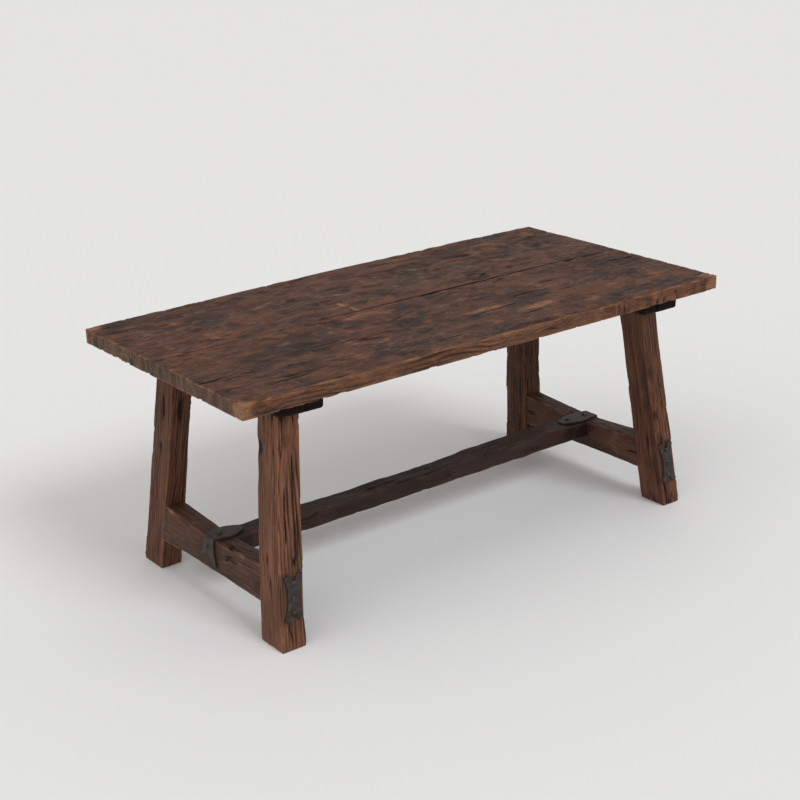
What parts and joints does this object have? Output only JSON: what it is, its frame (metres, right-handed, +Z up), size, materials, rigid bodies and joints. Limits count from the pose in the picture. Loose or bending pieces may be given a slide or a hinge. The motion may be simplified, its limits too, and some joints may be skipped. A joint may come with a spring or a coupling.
{
  "type": "low trestle table",
  "caption": "Low rustic trestle table: hewn plank top on battens, splayed tenoned legs, H-shaped stretcher, forged iron straps and plates.",
  "frame": {"origin": "on the floor, under the middle of the top", "axes": "+X along the table to the right, +Y from the front to the back, +Z up"},
  "size_m": [1.168, 0.593, 0.5],
  "materials": {
    "top_wood": "dark hewn wood, waxed, satin",
    "leg_wood": "brown hewn wood, waxed, satin",
    "rail_wood": "dark hewn wood, matt",
    "stretcher_wood": "smooth dark wood, satin",
    "batten_wood": "almost black wood, matt",
    "peg_wood": "bare wood",
    "forged_iron": "hammered, dark grey, dull",
    "nail_iron": "hammered, dark grey, dull",
    "screw_steel": "plain steel"
  },
  "bodies": {
    "root": {"plank_front": "top_wood", "plank_back": "top_wood", "plank_pegs": "peg_wood", "long_stretcher": "stretcher_wood", "batten_left": "batten_wood", "batten_screws_left": "screw_steel", "leg_wedges_left": "peg_wood", "end_stretcher_left": "rail_wood", "strap_left": "forged_iron", "strap_nails_left": "nail_iron", "tail_nail_left": "nail_iron", "batten_right": "batten_wood", "batten_screws_right": "screw_steel", "leg_wedges_right": "peg_wood", "end_stretcher_right": "rail_wood", "strap_right": "forged_iron", "strap_nails_right": "nail_iron", "tail_nail_right": "nail_iron", "leg_front_left": "leg_wood", "leg_plate_front_left": "forged_iron", "plate_nails_front_left": "nail_iron", "leg_front_right": "leg_wood", "leg_plate_front_right": "forged_iron", "plate_nails_front_right": "nail_iron", "leg_back_left": "leg_wood", "leg_plate_back_left": "forged_iron", "plate_nails_back_left": "nail_iron", "leg_back_right": "leg_wood", "leg_plate_back_right": "forged_iron", "plate_nails_back_right": "nail_iron"}
  },
  "joints": []
}
